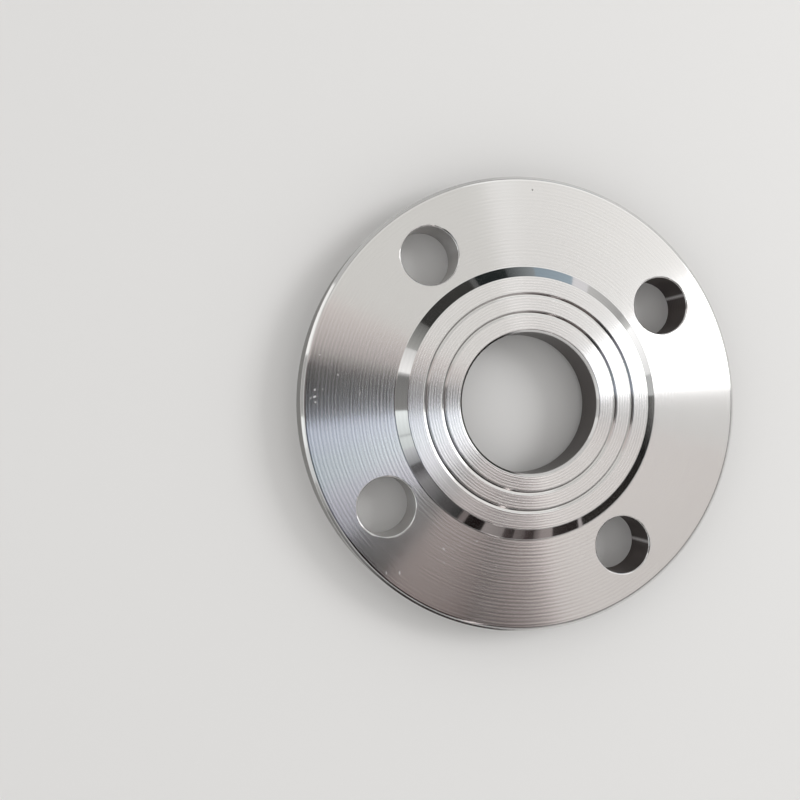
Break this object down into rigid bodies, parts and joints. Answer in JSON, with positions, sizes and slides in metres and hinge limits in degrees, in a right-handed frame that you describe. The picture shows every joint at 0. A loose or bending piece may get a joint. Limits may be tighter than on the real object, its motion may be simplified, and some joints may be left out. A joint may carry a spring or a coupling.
{
  "type": "slip-on pipe flange",
  "caption": "Round stainless steel plate flange with a raised gasket face, bevelled shoulder, V grooves, central pipe bore and bolt holes.",
  "frame": {"origin": "centre of the bore at the flange's back face, which it rests on", "axes": "+Z along the bore axis towards the raised gasket face; +X and +Y each point midway between two bolt holes"},
  "size_m": [0.11, 0.11, 0.012],
  "materials": {
    "turned_steel": "fine turned stainless steel, with a bright shoulder bevel and rim chamfer"
  },
  "bodies": {
    "root": {"flange": "turned_steel"}
  },
  "joints": []
}
